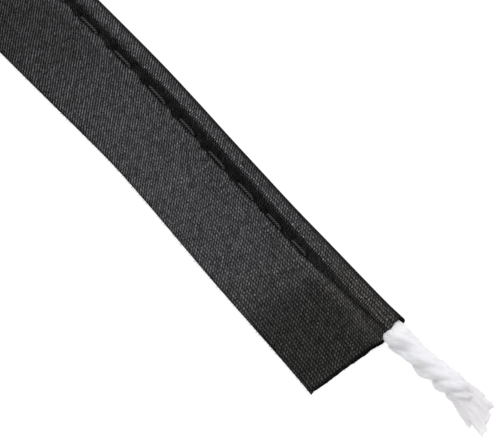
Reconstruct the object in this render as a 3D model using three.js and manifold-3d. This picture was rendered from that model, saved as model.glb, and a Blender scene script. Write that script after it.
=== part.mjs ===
// Cut length of flanged satin piping: a bias strip of black satin folded round a twisted white
// cotton cord and stitched close beside it, so that its two layers go on as a flat flange.
// It lies on a surface as it was laid down, with a slight bend, and the cord sticks out of the
// near cut end and frays. X runs along the strip towards that end, Y from the flange to the
// cord, and Z is up. Millimetres.
import * as THREE from "three";
import Module from "manifold-3d";

// Driving dimensions of the satin cover
const CLOTH_LENGTH = 72.6;
const LAYER = 0.36;
const LAYER_GAP = 0.28;
const FLANGE_THICKNESS = 2 * LAYER + LAYER_GAP;
const BULGE_RADIUS = 1.45;
const TUNNEL_WALL = 0.3;
const STITCH_PITCH = 5.5;
const FIRST_STITCH = 2.6;
const COVER_STEP = 1.35;

// Driving dimensions of the filler cord
const CORD_GAP = 0.3;
const CORD_RADIUS = 1.25;
const HELD_RADIUS = BULGE_RADIUS - TUNNEL_WALL - CORD_GAP;
const CORD_RECESS = 0.4;
const CORD_LEAD = 8.8;
const STRANDS = 3;
const STRAND_SHARE = 0.53;
const STRAND_CENTRE_SHARE = 1 - STRAND_SHARE;

// Sides and steps of the meshes
const BULGE_SIDES = 18;
const TUNNEL_SIDES = 12;
const CORD_SIDES = 24;
const HELD_STEP = 4;
const FREE_STEP = 0.6;
const TUFT_SIDES = 9;
const TUFT_STEPS = 7;

// A tuft's size along its length is the part of a sine's hump from its root on, made blunter.
const TUFT_ROOT = 0.2;
const TUFT_TAPER = 0.76;
const TUFT_BLUNTNESS = 0.75;

// The bulge stands on a small flat, one side of its section wide. Its outer wall runs from the
// groove over the top and round to the underside of the seam, counted in sides from the top.
const BULGE_HEIGHT = BULGE_RADIUS * Math.cos(Math.PI / BULGE_SIDES);
const BULGE_FROM = 4.5;
const BULGE_TO = -12.5;

// How the strip lies, a row for each place along it: where the cord runs across the strip, how
// far the flange reaches from it, how much the cord's tunnel spreads towards the flange, and how
// sharp the sewn groove is. The seam lets go at the near end, where the tunnel opens to an oval.
const LIE = [
  { along: 0, cordAt: 1.95, reach: 10.75, spread: 1, groove: 1 },
  { along: 17, cordAt: 2.6, reach: 10.85, spread: 1, groove: 1 },
  { along: 24, cordAt: 2.83, reach: 10.8, spread: 1, groove: 1 },
  { along: 30, cordAt: 2.97, reach: 10.65, spread: 1.02, groove: 1 },
  { along: 36, cordAt: 2.95, reach: 10.42, spread: 1, groove: 1 },
  { along: 42, cordAt: 2.85, reach: 10.45, spread: 1, groove: 1.1 },
  { along: 48, cordAt: 2.8, reach: 10.68, spread: 1.03, groove: 1 },
  { along: 54, cordAt: 2.76, reach: 10.95, spread: 1, groove: 1.1 },
  { along: 60, cordAt: 2.85, reach: 11.25, spread: 1.04, groove: 0.9 },
  { along: 66, cordAt: 2.92, reach: 11.5, spread: 1.1, groove: 0.75 },
  { along: 70, cordAt: 3.0, reach: 11.75, spread: 1.2, groove: 0.6 },
  { along: 72.6, cordAt: 3.16, reach: 12.05, spread: 1.38, groove: 0.5 },
];

// The flange's upper face beside the cord, a row for each distance out from the seam: its
// height, how far the sewing pulls it down there, and how much the pucker between two stitches
// lifts it and pushes it towards the cord.
const UPPER_FACE = [
  { out: 0.16, height: 1.5, pull: 0.34, lift: 0.05, push: 0 },
  { out: 0.45, height: 1.5, pull: 0.26, lift: 0.12, push: 0.05 },
  { out: 0.85, height: 1.52, pull: 0.02, lift: 0.12, push: 0.12 },
  { out: 1.4, height: 1.4, pull: 0, lift: 0.06, push: 0.08 },
  { out: 2.1, height: 1.22, pull: 0, lift: 0.02, push: 0.03 },
  { out: 3.1, height: 1.07, pull: 0, lift: 0, push: 0 },
  { out: 4.1, height: FLANGE_THICKNESS, pull: 0, lift: 0, push: 0 },
];

// The flange's lower face, which comes down to the surface and then lies flat on it.
const LOWER_FACE = [
  { out: 0.1, height: 0.7 },
  { out: 0.85, height: 0.58 },
  { out: 1.6, height: 0.32 },
  { out: 2.5, height: 0.08 },
  { out: 3.4, height: 0 },
];

// The slit between the two layers: how far out from the seam it starts, its height there, where
// it comes level, and the shares of its way out to the edge at which its sides have a point.
const SLIT_START = 1.3;
const SLIT_HEIGHT = 0.88;
const SLIT_LEVEL = 3.4;
const SLIT_SHARES = [0.08, 0.25, 0.6];
const FLAT_SHARE = 0.6;

// How far the near cut runs ahead of a square one, for each distance out from the cord: the
// scissors went a little askew, and the mouth of the tunnel drew back.
const CUT_LINE = [
  { out: -1.5, ahead: -0.3 },
  { out: 0, ahead: -0.1 },
  { out: 1.6, ahead: 0.6 },
  { out: 4, ahead: 0.5 },
  { out: 12.1, ahead: 0 },
];
const CUT_LINE_FADE = 6;

// The cord's way out of the mouth and along the surface, a row for each distance past the mouth:
// its place across from where it lies in the strip, its height, its radius, and how deep the
// creases between its strands are.
const CORD_END = [
  { past: -2.5, across: 0, height: BULGE_HEIGHT, radius: HELD_RADIUS, crease: 0.2 },
  { past: 0.1, across: -0.12, height: 1.41, radius: HELD_RADIUS + 0.03, crease: 0.3 },
  { past: 1.6, across: -0.2, height: 1.38, radius: 1.06 * CORD_RADIUS, crease: 0.5 },
  { past: 3.5, across: 0, height: 1.33, radius: 1.03 * CORD_RADIUS, crease: 0.8 },
  { past: 5.4, across: 0.19, height: 1.28, radius: CORD_RADIUS, crease: 1 },
  { past: 7.2, across: 0.38, height: 1.26, radius: 0.98 * CORD_RADIUS, crease: 1 },
  { past: 9.6, across: 0.67, height: 1.29, radius: 1.02 * CORD_RADIUS, crease: 1 },
  { past: 11.6, across: 0.86, height: 1.28, radius: CORD_RADIUS, crease: 1 },
];

// The frayed tufts of the cord's end, measured from the end of its twisted part: where each
// starts and where its tip lies, along and across, the tip's height, and the tuft's width and
// thickness at its widest.
const TUFTS = [
  { start: -1.7, from: 0.35, tip: 2.8, to: 0.7, height: 1.1, wide: 2.1, thick: 1.9 },
  { start: -1.2, from: 0.55, tip: 2.8, to: 1.5, height: 0.95, wide: 1.0, thick: 0.8 },
  { start: -1.5, from: 0.1, tip: 3.3, to: -0.1, height: 0.85, wide: 1.7, thick: 1.5 },
  { start: -2.0, from: -0.4, tip: 4.3, to: -1.75, height: 0.5, wide: 1.9, thick: 1.4 },
  { start: -1.6, from: -0.45, tip: 2.1, to: -2.2, height: 0.6, wide: 1.3, thick: 1.1 },
];

// Colour and finish of the two pieces
const SATIN_COLOUR = 0x2b2b2e;
const SATIN_ROUGHNESS = 0.45;
const COTTON_COLOUR = 0xf1f0ee;
const COTTON_ROUGHNESS = 0.9;

const wasm = await Module();
wasm.setup();

// The value of one column at a place between a table's rows, on a smooth curve through them.
function between(rows, column, place, value) {
  const last = rows.length - 1;
  let k = 0;
  while (k < last - 1 && place > rows[k + 1][column]) {
    k += 1;
  }
  const slope = (a, b) => (rows[b][value] - rows[a][value]) / (rows[b][column] - rows[a][column]);
  const step = rows[k + 1][column] - rows[k][column];
  const t = THREE.MathUtils.clamp((place - rows[k][column]) / step, 0, 1);
  const leaving = slope(Math.max(k - 1, 0), k + 1) * step;
  const arriving = slope(k, Math.min(k + 2, last)) * step;
  const t2 = t * t;
  const t3 = t2 * t;
  return (
    (2 * t3 - 3 * t2 + 1) * rows[k][value] +
    (t3 - 2 * t2 + t) * leaving +
    (3 * t2 - 2 * t3) * rows[k + 1][value] +
    (t3 - t2) * arriving
  );
}

// How much the cloth swells at a place along the seam: 0 in a stitch's middle, 1 between two.
function swell(along) {
  const turn = (2 * Math.PI * (along - FIRST_STITCH)) / STITCH_PITCH;
  return 0.5 + 0.42 * Math.cos(turn) + 0.08 * Math.cos(0.37 * turn + 1);
}

// A closed surface being built up of rings of points, which run anticlockwise as seen from the
// far end of the strip.
class Surface {
  points = [];
  triangles = [];

  addRing(points) {
    const first = this.points.length;
    this.points.push(...points);
    return first;
  }

  // The wall between two rings of the same number of points.
  addWall(first, second, count) {
    for (let i = 0; i < count; i += 1) {
      const next = (i + 1) % count;
      this.triangles.push([first + i, second + next, first + next]);
      this.triangles.push([first + i, second + i, second + next]);
    }
  }

  // The fan that closes a ring to a point, which lies before the ring or after it.
  addPoint(point, first, count, isBefore) {
    const tip = this.addRing([point]);
    for (let i = 0; i < count; i += 1) {
      const next = (i + 1) % count;
      const [a, b] = isBefore ? [i, next] : [next, i];
      this.triangles.push([tip, first + a, first + b]);
    }
  }

  toSolid() {
    const vertProperties = new Float32Array(this.points.flatMap((p) => p.toArray()));
    const triVerts = new Uint32Array(this.triangles.flat());
    return new wasm.Manifold(new wasm.Mesh({ numProp: 3, vertProperties, triVerts }));
  }
}

// A round wall of the bulge or its tunnel. Angles run from the top towards the flange.
function roundWall(radius, spread, from, to, count) {
  return Array.from({ length: count }, (_, i) => {
    const angle = THREE.MathUtils.lerp(from, to, i / (count - 1));
    const out = radius * Math.sin(angle) * (Math.sin(angle) > 0 ? spread : 1);
    return [out, BULGE_HEIGHT + radius * Math.cos(angle)];
  });
}

// The cover's section at a place along it, as distances out from the cord and heights: its
// outline, with the slit between the two layers, and the tunnel.
function coverSection(along) {
  const at = (value) => between(LIE, "along", along, value);
  const reach = at("reach");
  const groove = at("groove");
  const puff = swell(along) * groove;
  const seam = BULGE_RADIUS * at("spread");
  const upper = UPPER_FACE.map((row) => [
    seam + row.out - row.push * puff,
    row.height - row.pull * groove * (1 - 0.35 * puff) + row.lift * puff,
  ]);
  const lower = LOWER_FACE.map((row) => [seam + row.out, row.height]);
  const slitEnd = seam + SLIT_START;
  const middle = (out) => {
    const settled = THREE.MathUtils.smoothstep(out, slitEnd, seam + SLIT_LEVEL);
    return THREE.MathUtils.lerp(SLIT_HEIGHT, FLANGE_THICKNESS / 2, settled);
  };
  const slitSide = (offset) =>
    SLIT_SHARES.map((share) => {
      const out = THREE.MathUtils.lerp(slitEnd, reach, share);
      return [out, middle(out) + offset];
    });
  const flatOut = THREE.MathUtils.lerp(slitEnd, reach, FLAT_SHARE);
  const side = (2 * Math.PI) / BULGE_SIDES;
  const outer = [
    [slitEnd, SLIT_HEIGHT],
    ...slitSide(LAYER_GAP / 2),
    [reach, LAYER + LAYER_GAP],
    [reach, FLANGE_THICKNESS],
    [flatOut, FLANGE_THICKNESS],
    ...upper.reverse(),
    ...roundWall(BULGE_RADIUS, at("spread"), BULGE_FROM * side, BULGE_TO * side, BULGE_SIDES),
    ...lower,
    [flatOut, 0],
    [reach, 0],
    [reach, LAYER],
    ...slitSide(-LAYER_GAP / 2).reverse(),
  ];
  const tunnelRadius = BULGE_RADIUS - TUNNEL_WALL;
  const tunnelSpread = (seam - TUNNEL_WALL) / tunnelRadius;
  const lastTurn = (2 * Math.PI * (TUNNEL_SIDES - 1)) / TUNNEL_SIDES;
  const tunnel = roundWall(tunnelRadius, tunnelSpread, 0, lastTurn, TUNNEL_SIDES);
  return { outer, tunnel };
}

// The triangles that close the cover's section, anticlockwise in distance out and height.
function capTriangles(along) {
  const { outer, tunnel } = coverSection(along);
  const flat = (ring) => ring.map(([out, height]) => new THREE.Vector2(out, height));
  return THREE.ShapeUtils.triangulateShape(flat(outer), [flat(tunnel)]);
}

// Satin cover: the folded strip with its bulge, tunnel, sewn groove, puckers and two layers
function coverSolid() {
  const surface = new Surface();
  const stations = Math.round(CLOTH_LENGTH / COVER_STEP);
  let before = null;
  for (let i = 0; i <= stations; i += 1) {
    const along = (CLOTH_LENGTH * i) / stations;
    const cordAt = between(LIE, "along", along, "cordAt");
    const fade = THREE.MathUtils.smoothstep(along, CLOTH_LENGTH - CUT_LINE_FADE, CLOTH_LENGTH);
    const place = ([out, height]) => {
      const ahead = between(CUT_LINE, "out", out, "ahead") * fade;
      return new THREE.Vector3(along + ahead, cordAt - out, height);
    };
    const { outer, tunnel } = coverSection(along);
    const outerRing = surface.addRing(outer.map(place));
    const tunnelRing = surface.addRing(tunnel.map(place));
    if (before !== null) {
      surface.addWall(before.outerRing, outerRing, outer.length);
      surface.addWall(before.tunnelRing, tunnelRing, tunnel.length);
    }
    before = { outerRing, tunnelRing };
  }
  for (const [a, b, c] of capTriangles(0)) {
    surface.triangles.push([a, b, c]);
  }
  for (const [a, b, c] of capTriangles(CLOTH_LENGTH)) {
    surface.triangles.push([a, c, b].map((corner) => before.outerRing + corner));
  }
  return surface.toSolid();
}

// How far the cord's surface is from its axis, as a share of its radius, at an angle from the
// nearest strand: an arc of that strand, or less of one where the creases are shallow.
function strandShare(angle, crease) {
  const apart = (2 * Math.PI) / STRANDS;
  const off = angle - apart * Math.round(angle / apart);
  const sideways = STRAND_CENTRE_SHARE * Math.sin(off);
  const arc = STRAND_CENTRE_SHARE * Math.cos(off) + Math.sqrt(STRAND_SHARE ** 2 - sideways ** 2);
  return THREE.MathUtils.lerp(1, arc, crease);
}

// The cord's axis, radius and crease depth at a place along the strip.
function cordState(along) {
  const past = along - CLOTH_LENGTH;
  const inStrip = Math.min(along, CLOTH_LENGTH);
  const at = (value) => between(CORD_END, "past", past, value);
  const across = between(LIE, "along", inStrip, "cordAt") + at("across");
  const axis = new THREE.Vector3(along, across, at("height"));
  return { axis, radius: at("radius"), crease: at("crease") };
}

// Filler cord: three strands laid in an S twist, held in the tunnel and free past its mouth
function twistedCord() {
  const surface = new Surface();
  const lastRow = CORD_END[CORD_END.length - 1];
  const freeFrom = CLOTH_LENGTH + CORD_END[0].past;
  const end = CLOTH_LENGTH + lastRow.past;
  const heldSteps = Math.ceil((freeFrom - CORD_RECESS) / HELD_STEP);
  const freeSteps = Math.ceil((end - freeFrom) / FREE_STEP);
  const held = (i) => THREE.MathUtils.lerp(CORD_RECESS, freeFrom, i / heldSteps);
  const free = (i) => THREE.MathUtils.lerp(freeFrom, end, i / freeSteps);
  const places = [
    ...Array.from({ length: heldSteps }, (_, i) => held(i)),
    ...Array.from({ length: freeSteps + 1 }, (_, i) => free(i)),
  ];
  const rings = places.map((along) => {
    const { axis, radius, crease } = cordState(along);
    const lay = (2 * Math.PI * (along - freeFrom)) / CORD_LEAD;
    const depth = along < freeFrom ? 0 : crease;
    const points = Array.from({ length: CORD_SIDES }, (_, i) => {
      const angle = (-2 * Math.PI * i) / CORD_SIDES;
      const reach = radius * strandShare(angle + lay, depth);
      const outward = new THREE.Vector3(0, -Math.sin(angle), Math.cos(angle));
      return axis.clone().addScaledVector(outward, reach);
    });
    return surface.addRing(points);
  });
  rings.slice(1).forEach((ring, i) => surface.addWall(rings[i], ring, CORD_SIDES));
  surface.addPoint(cordState(CORD_RECESS).axis, rings[0], CORD_SIDES, true);
  surface.addPoint(cordState(end).axis, rings[rings.length - 1], CORD_SIDES, false);
  return surface.toSolid();
}

// One frayed tuft: a flattened bundle that swells out of the cord's end and narrows to a tip
function tuftSolid(tuft) {
  const surface = new Surface();
  const { axis } = cordState(CLOTH_LENGTH + CORD_END[CORD_END.length - 1].past);
  const start = axis.clone().add(new THREE.Vector3(tuft.start, tuft.from, 0));
  const tip = new THREE.Vector3(axis.x + tuft.tip, axis.y + tuft.to, tuft.height);
  const bow = new THREE.Vector3(THREE.MathUtils.lerp(start.x, tip.x, 0.5), start.y, axis.z);
  const path = new THREE.QuadraticBezierCurve3(start, bow, tip);
  const rings = Array.from({ length: TUFT_STEPS }, (_, k) => {
    const share = k / TUFT_STEPS;
    const size = Math.sin(Math.PI * (TUFT_ROOT + TUFT_TAPER * share)) ** TUFT_BLUNTNESS / 2;
    const middle = path.getPoint(share);
    const sideways = path.getTangent(share).cross(new THREE.Vector3(0, 0, 1)).normalize();
    const points = Array.from({ length: TUFT_SIDES }, (_, i) => {
      const angle = (-2 * Math.PI * i) / TUFT_SIDES;
      const point = middle.clone();
      point.addScaledVector(sideways, tuft.wide * size * Math.sin(angle));
      point.z = Math.max(point.z + tuft.thick * size * Math.cos(angle), 0);
      return point;
    });
    return surface.addRing(points);
  });
  rings.slice(1).forEach((ring, i) => surface.addWall(rings[i], ring, TUFT_SIDES));
  surface.addPoint(start, rings[0], TUFT_SIDES, true);
  surface.addPoint(tip, rings[rings.length - 1], TUFT_SIDES, false);
  return surface.toSolid();
}

// Cord with its frayed end joined on
function cordSolid() {
  return TUFTS.reduce((cord, tuft) => cord.add(tuftSolid(tuft)), twistedCord());
}

// A named mesh of a solid in a plain finish.
function meshOf(name, solid, color, roughness) {
  const { vertProperties, triVerts } = solid.getMesh();
  const geometry = new THREE.BufferGeometry();
  geometry.setAttribute("position", new THREE.BufferAttribute(vertProperties, 3));
  geometry.setIndex(new THREE.BufferAttribute(triVerts, 1));
  geometry.computeVertexNormals();
  const material = new THREE.MeshStandardMaterial({ color, roughness, metalness: 0 });
  const mesh = new THREE.Mesh(geometry, material);
  mesh.name = name;
  return mesh;
}

// The origin is on the surface, under the middle of the whole length and width.
const trim = new THREE.Group();
trim.add(meshOf("satin_cover", coverSolid(), SATIN_COLOUR, SATIN_ROUGHNESS));
trim.add(meshOf("filler_cord", cordSolid(), COTTON_COLOUR, COTTON_ROUGHNESS));
const box = new THREE.Box3().setFromObject(trim);
const middle = box.getCenter(new THREE.Vector3());
trim.position.set(-middle.x, -middle.y, -box.min.z);

export default trim;
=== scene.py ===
"""The looks of a cut length of flanged satin piping.

A bias strip of black satin is folded round a twisted white cotton cord and stitched close beside
it, and its two layers go on as a flat flange. Lengths are millimetres in the strip's own frame:
X runs along the strip towards the cut end where the cord sticks out, Y from the flange to the
cord, and Z is up.
"""

import math

import bpy
import numpy as np
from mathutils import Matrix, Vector


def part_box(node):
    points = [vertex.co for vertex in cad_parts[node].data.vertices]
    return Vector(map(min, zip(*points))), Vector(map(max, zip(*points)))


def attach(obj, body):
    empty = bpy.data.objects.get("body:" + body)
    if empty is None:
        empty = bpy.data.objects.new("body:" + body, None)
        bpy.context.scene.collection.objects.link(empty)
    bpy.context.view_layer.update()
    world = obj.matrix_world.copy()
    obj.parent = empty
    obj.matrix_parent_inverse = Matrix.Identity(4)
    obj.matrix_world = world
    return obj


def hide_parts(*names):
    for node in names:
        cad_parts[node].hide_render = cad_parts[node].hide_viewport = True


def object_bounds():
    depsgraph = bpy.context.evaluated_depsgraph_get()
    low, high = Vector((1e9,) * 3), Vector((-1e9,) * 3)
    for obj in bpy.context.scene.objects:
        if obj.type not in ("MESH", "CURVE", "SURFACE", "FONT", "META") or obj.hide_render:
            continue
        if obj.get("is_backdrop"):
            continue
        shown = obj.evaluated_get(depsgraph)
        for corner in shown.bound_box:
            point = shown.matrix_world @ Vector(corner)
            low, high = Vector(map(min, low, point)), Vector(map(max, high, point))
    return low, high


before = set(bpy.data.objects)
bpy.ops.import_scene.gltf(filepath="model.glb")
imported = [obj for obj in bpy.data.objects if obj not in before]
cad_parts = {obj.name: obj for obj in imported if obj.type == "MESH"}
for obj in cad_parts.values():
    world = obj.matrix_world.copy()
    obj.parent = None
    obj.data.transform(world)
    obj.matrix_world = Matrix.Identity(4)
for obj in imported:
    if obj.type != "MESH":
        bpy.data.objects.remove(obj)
cad_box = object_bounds()

MM = 0.001


def table(columns, *rows):
    """A short table, as a dictionary of its named columns."""
    return dict(zip(columns.split(), np.array(rows, float).T))


# Satin cover: how the strip lies, a row for each place along it. cord_at is where the cord runs
# across, reach how far the flange goes out from it, spread how much the tunnel opens towards the
# flange, and groove how much of the sewn groove is left.
CLOTH_LENGTH = 72.6
LIE = table(
    "along cord_at reach spread groove",
    (0, 2.04, 11.02, 1, 1),
    (17, 2.69, 11.12, 1, 1),
    (24, 2.92, 11.07, 1, 1),
    (30, 3.06, 10.94, 1.02, 1),
    (36, 3.04, 10.73, 1, 1),
    (42, 2.94, 10.77, 1, 1),
    (48, 2.89, 10.99, 1.02, 1),
    (54, 2.85, 11.22, 1, 1),
    (60, 2.94, 11.49, 1.03, 0.8),
    (66, 3.01, 11.72, 1.06, 0.45),
    (70, 3.09, 11.95, 1.14, 0.2),
    (72.6, 3.25, 12.24, 1.3, 0.1),
)

# The cloth's middle in section, from the under layer's raw edge round the cord and back out. The
# tunnel is an arc round the cord, between angles in degrees from its top over towards the flange.
CLOTH_THICKNESS = 0.26
TUNNEL_RADIUS = 1.32
TUNNEL_HEIGHT = 1.43
TUNNEL_FROM, TUNNEL_TO, TUNNEL_POINTS = 131, 388, 18
UNDER_LAYER = table(
    "out height",
    (10.66, 0.14),
    (9, 0.14),
    (7, 0.14),
    (5.4, 0.14),
    (4.4, 0.17),
    (3.7, 0.26),
    (3.05, 0.45),
    (2.3, 0.66),
    (1.75, 0.78),
    (1.34, 0.84),
)
# The upper layer, down the steep wall that faces the flange and on over it: where a stitch pulls
# it down, where it puffs up loose between two stitches, and where the seam has let go of it.
UPPER_LAYER = table(
    "out height loose_out loose_height free_out free_height",
    (0.8, 2.44, 0.76, 2.46, 0.86, 2.46),
    (0.95, 2.1, 0.88, 2.16, 1.08, 2.2),
    (1.08, 1.76, 0.99, 1.89, 1.28, 1.94),
    (1.2, 1.44, 1.09, 1.67, 1.45, 1.73),
    (1.29, 1.23, 1.18, 1.53, 1.6, 1.57),
    (1.42, 1.14, 1.3, 1.47, 1.76, 1.46),
    (1.6, 1.17, 1.45, 1.49, 1.94, 1.37),
    (1.85, 1.32, 1.68, 1.52, 2.14, 1.29),
    (2.2, 1.41, 2.02, 1.49, 2.42, 1.21),
    (2.65, 1.34, 2.55, 1.36, 2.8, 1.13),
    (3.1, 1.2, 3.1, 1.21, 3.2, 1.05),
    (3.8, 1.02, 3.8, 1.02, 3.8, 0.95),
    (4.6, 0.88, 4.6, 0.88, 4.6, 0.86),
    (5.6, 0.77, 5.6, 0.77, 5.6, 0.77),
    (7.2, 0.69, 7.2, 0.69, 7.2, 0.69),
    (9.2, 0.65, 9.2, 0.65, 9.2, 0.65),
    (10.4, 0.635, 10.4, 0.635, 10.4, 0.635),
    (10.8, 0.6, 10.8, 0.6, 10.8, 0.6),
)
# Beyond FLANGE_FROM the flange is drawn in or out, from the tables' reach to the strip's own.
FULL_REACH = 10.8
FLANGE_FROM = 4.0
# How far out from the cord the stitches lie, the height that the under layer stays below there,
# and a distance that keeps a search off the other layer.
VALLEY_OUT = 1.42
UNDER_LAYER_TOP = 0.95
OTHER_LAYER = 9
# Steps of the mesh along the strip and along the section, which is finer within FINE_WITHIN.
ALONG_STEP = 0.28
FINE_STEP, FLANGE_STEP, FINE_WITHIN = 0.17, 0.42, 3.2
SECTION_SAMPLES = 4000

# How far the near cut runs ahead of a square one, for each distance out from the cord.
CUT_LINE = table(
    "out ahead",
    (-1.4, 0),
    (-1.0, -0.13),
    (-0.3, -0.1),
    (0.35, 0.02),
    (1.0, 0.32),
    (1.9, 0.36),
    (2.3, 0.3),
    (2.7, 0.2),
    (3.4, 0.03),
    (5, -0.03),
    (7.8, -0.06),
    (10, 0.0),
    (11.6, -0.04),
    (12.2, 0.12),
)
CUT_LINE_FADE = 6
CUT_RAGGEDNESS, CUT_SEED = 0.025, 4

# Slow waves of the flange as it lies, with their lengths along and across the strip. They grow
# between two distances out from the cord.
RIPPLES = table(
    "along across turn height",
    (31, 40, 0.3, 0.05),
    (12.5, -16, 1.9, 0.028),
    (6.2, 9, 4.1, 0.014),
)
RIPPLES_GROW = (2.5, 6.5)

# The stitches that show on top, and how hard each one pulls the cloth down. The seam has come
# undone from the last one to the near end.
STITCHES = table(
    "start length pull",
    (0.9, 3.0, 1),
    (6.8, 3.0, 0.9),
    (12.7, 3.1, 1),
    (18.6, 3.0, 0.95),
    (24.6, 2.9, 1),
    (30.7, 3.1, 1),
    (36.3, 2.8, 0.9),
    (41.7, 3.0, 1),
    (47.0, 2.9, 0.9),
    (52.2, 2.6, 0.8),
    (56.6, 2.6, 0.7),
)
# A stitch's pull grows from STITCH_EASE outside its end to STITCH_BITE inside it.
STITCH_EASE, STITCH_BITE = 0.8, 0.3
# Just before each stitch the cloth is pinched deeper for a short way.
DENT_BEFORE, DENT_WIDTH, DENT_PULL = 0.7, 0.55, 1.35
# Needle holes sink HOLE_DEPTH into the face, HOLE_REACH round, and HOLE_DARKENS is the painted
# shade in them.
HOLE_DEPTH, HOLE_REACH, HOLE_DARKENS = 0.14, 0.26, 0.85

# Painted sheen and shade on the satin's face, for each place along the strip: how bright it is
# painted on the flange, on the tunnel, and where the cloth stands on edge or lies in the trench of
# the seam. The flange is painted dimmer towards both ends, standing in for its sheen falling off
# there. wall_from is where the tunnel's wall, painted dark, starts, as a distance along the cloth
# from the under layer's raw edge.
PAINTED_SHINE = table(
    "along flange tunnel edge wall_from",
    (0, 0.47, 0.95, 0.31, 16.15),
    (15, 0.52, 0.97, 0.31, 16.15),
    (21, 0.63, 0.98, 0.31, 16.1),
    (27, 0.77, 0.96, 0.31, 16.0),
    (34, 0.88, 0.92, 0.31, 15.72),
    (48, 0.9, 0.8, 0.33, 15.66),
    (56, 0.85, 0.8, 0.38, 15.8),
    (60, 0.76, 0.84, 0.46, 15.92),
    (62.5, 0.46, 0.84, 0.54, 16),
    (65, 0.4, 0.84, 0.62, 16),
    (70, 0.4, 0.72, 0.75, 16),
    (72.6, 0.4, 0.62, 0.8, 16),
)
# The flange's painted sheen takes over between these distances out from the cord.
FLANGE_SHINE = (1.6, 3.4)
# How far up the cloth faces where it stands on edge and where it lies flat: on the side of the
# flange, and beyond the cord. Cloth on edge is painted darker, in painted shade, down to
# FAR_EDGE_SHINE beyond the cord.
ON_EDGE, LIES_FLAT = 0.7, 0.99
ON_FAR_EDGE, LIES_FLAT_BEYOND, FAR_EDGE_SHINE = 0.75, 0.995, 0.1
# Just before the wall, on the tunnel's crest, single floats get a painted highlight: a glint. The
# row is wider and weaker where the seam has let go. A glint's gaps are a little darker than the
# satin.
CREST_BEFORE_WALL, CREST_WIDTH, CREST_SHINE = 0.12, 0.14, 4.5
LOOSE_CREST_WIDTH, LOOSE_CREST_SHINE = 0.3, 2.0
GLINT_SHARPNESS, GLINT_GAPS = 3.0, 0.14
# The trench of the seam is painted dark, in painted shade, from the wall to TRENCH_TO along the
# cloth; the painted shade ends sooner between the stitches, and fades where little of the groove
# is left. Beside each stitch the trench has a bank with a painted highlight and painted glints.
TRENCH_TO, TRENCH_EASE, TRENCH_FADE = 18.32, 0.2, 0.4
TRENCH_LOOSE_SHORTER, TRENCH_DARKENS = 0.2, 0.95
TRENCH_SHOWS = (0.1, 0.8)
BANK_RUN, BANK_WIDTH, BANK_SHINE, BANK_GLINT = 18.0, 0.12, 1.0, 1.5
# Painted shade darkens a short stretch of the face before the near cut, on the middle of the
# flange. It comes and goes between these distances out from the cord.
CUT_SHADE_REACH, CUT_DARKENS = 0.28, 0.9
CUT_DARK_FROM, CUT_DARK_TO = (1.5, 3.5), (8.5, 11.5)
# A crease that runs on from the last stitch to the mouth of the tunnel: sunk a little into the
# face and darkened with painted shade, with a painted highlight on its bank.
CREASE = table(
    "along run dark",
    (57, 17.95, 0),
    (60, 17.65, 0.35),
    (65, 17.05, 0.42),
    (70, 16.4, 0.5),
    (72.6, 16.1, 0.55),
)
CREASE_WIDTH, CREASE_DEPTH = 0.2, 0.12
CREASE_BANK_AFTER, CREASE_BANK_WIDTH, CREASE_BANK_SHINE = 0.6, 0.28, 0.9

# Sewing thread: a ply's radius, its turns in a stitch, how far it sinks into the satin, and how
# far and how suddenly its ends dive. A stitch is drawn at one length, then stretched to its own.
THREAD_PLY = 0.1
THREAD_TWISTS, SPIRAL_STEPS, PLY_SIDES = 3.5, 9, 7
THREAD_SITS = 0.02
THREAD_DIVE, DIVE_POWER = 0.35, 7.0
STITCH_DRAWN = 3.0
TURN_TAKEN_OVER = 0.5

# Filler cord: a row for each distance past the mouth of the tunnel. across is from where the
# cord lies in the strip, and crease is how deep the creases between its strands are.
CORD_RECESS = 0.4
CORD_RUN = table(
    "past across height radius crease",
    (-3.5, 0.08, 1.4, 0.97, 0.3),
    (-0.9, -0.1, 1.4, 1.08, 0.3),
    (-0.1, -0.25, 1.4, 1.18, 0.3),
    (0.5, -0.58, 1.44, 1.46, 0.4),
    (1.1, -0.74, 1.5, 1.6, 0.5),
    (1.9, -0.5, 1.48, 1.53, 0.6),
    (3.0, -0.29, 1.4, 1.41, 0.75),
    (4.2, -0.4, 1.38, 1.37, 0.8),
    (5.4, -0.27, 1.45, 1.47, 0.8),
    (6.2, -0.19, 1.45, 1.5, 0.8),
    (7.2, 0.05, 1.36, 1.38, 0.8),
    (8.4, 0.14, 1.45, 1.5, 0.8),
    (9.6, 0.32, 1.45, 1.52, 0.8),
    (10.8, 0.48, 1.3, 1.4, 0.8),
    (12.2, 0.78, 1.2, 1.25, 0.8),
)
# The twist, counted in thirds of a turn: it closes up towards the end.
CORD_LAY = table(
    "past thirds",
    (-72.6, -19.82),
    (-2.75, -0.417),
    (0.85, 0.583),
    (4.4, 1.583),
    (7.4, 2.583),
    (9.55, 3.583),
    (11.3, 4.583),
    (13.0, 5.3),
)
STRANDS, YARNS = 3, 4
# Shares of the cord's radius. A yarn is fuller where the creases are shallow, and it rolls with
# the lay inside its strand.
STRAND_OUT, YARN_OUT, YARN_SIZE, YARN_FULLER = 0.47, 0.25, 0.31, 0.1
YARN_ROLL = 0.35
YARN_TAPER, YARN_END = 1.6, 0.35
# The cord lies flatter, with its creases filled, on the side away from the flange.
FILL_SIZE, FILL_ASIDE, FILL_END = 0.84, 0.12, 0.5
FILL_TURN = math.radians(-70)
CORD_STEP, YARN_SIDES = 0.35, 12
LOWEST = 0.06
# The voxel size at which the yarns grow together, and how they are smoothed after it.
SOFTNESS, CALM, CALM_TIMES = 0.12, 0.5, 2
# Creases get painted shade between these shares of the radius, and the frayed end gets painted
# shade like one.
CREASE_RISES = (0.55, 0.95)
FRAY_STARTS, FRAY_DEPTH = (10, 12), 0.75
# Loose fibres start at the mouth, grow denser at the frayed end, and need some height.
FUZZ_STARTS, FUZZ_HEIGHTS = (0, 1.5), (0.5, 0.9)
MORE_FUZZ_STARTS, MORE_FUZZ = (9, 13), 0.6

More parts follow.
